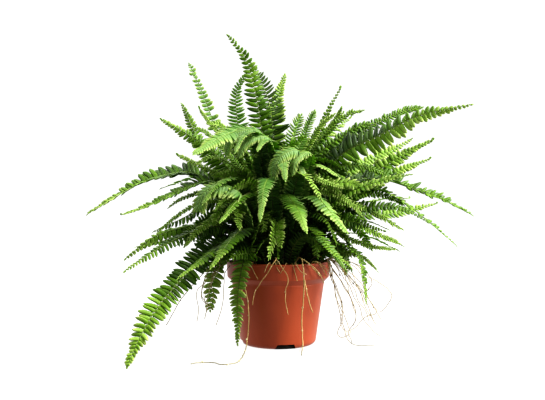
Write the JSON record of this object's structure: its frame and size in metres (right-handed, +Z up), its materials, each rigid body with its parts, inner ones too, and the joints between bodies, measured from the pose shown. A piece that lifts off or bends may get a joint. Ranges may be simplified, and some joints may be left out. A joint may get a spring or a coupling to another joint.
{
  "type": "potted boston fern",
  "caption": "Arching fern with long leafy fronds and thin trailing runners, growing in peat soil in a round tapered plastic nursery pot with a rolled band at its rim.",
  "frame": {"origin": "middle of the pot's flat underside, on the surface that it stands on", "axes": "+Z up along the pot's axis, +X to the plant's right and -Y to its front"},
  "size_m": [0.6239, 0.474, 0.4951],
  "materials": {
    "terracotta_plastic": "satin",
    "peat": "matte",
    "rhizome_scale": "matte",
    "leaf_dark": "satin",
    "leaf_mid": "satin",
    "leaf_young": "satin",
    "runner_straw": "satin"
  },
  "bodies": {
    "root": {"crown": "rhizome_scale", "frond_back_high_left": "leaf_dark", "frond_back_high_right": "leaf_dark", "frond_back_low_left": "leaf_dark", "frond_back_low_right": "leaf_dark", "frond_back_mid_a": "leaf_dark", "frond_back_mid_b": "leaf_dark", "frond_back_mid_c": "leaf_dark", "frond_back_mid_d": "leaf_dark", "frond_back_mid_e": "leaf_dark", "frond_bright_left": "leaf_young", "frond_broad_right": "leaf_mid", "frond_comb_right": "leaf_mid", "frond_crozier_right": "leaf_young", "frond_far_right": "leaf_mid", "frond_front_folded": "leaf_mid", "frond_front_high": "leaf_mid", "frond_front_left": "leaf_mid", "frond_front_long": "leaf_mid", "frond_front_middle": "leaf_mid", "frond_front_pale": "leaf_young", "frond_front_right": "leaf_mid", "frond_front_side": "leaf_mid", "frond_great_left": "leaf_dark", "frond_great_right": "leaf_dark", "frond_hanging_front": "leaf_mid", "frond_hanging_great": "leaf_dark", "frond_hanging_left": "leaf_mid", "frond_hanging_right": "leaf_mid", "frond_inner_right": "leaf_mid", "frond_level_right": "leaf_mid", "frond_low_left": "leaf_dark", "frond_low_right": "leaf_dark", "frond_middle_left": "leaf_mid", "frond_pale_left": "leaf_young", "frond_pale_right": "leaf_young", "frond_rear_left": "leaf_dark", "frond_second_left": "leaf_mid", "frond_second_right": "leaf_mid", "frond_side_left": "leaf_mid", "frond_tall": "leaf_mid", "frond_tall_back": "leaf_dark", "frond_tall_centre": "leaf_mid", "frond_under_right": "leaf_dark", "frond_upright_left": "leaf_mid", "frond_young_centre": "leaf_young", "frond_young_right": "leaf_young", "pot": "terracotta_plastic", "runner_back": "runner_straw", "runner_centre": "runner_straw", "runner_front": "runner_straw", "runner_left": "runner_straw", "runner_long": "runner_straw", "runner_right_far": "runner_straw", "runner_right_near": "runner_straw", "soil": "peat"}
  },
  "joints": []
}
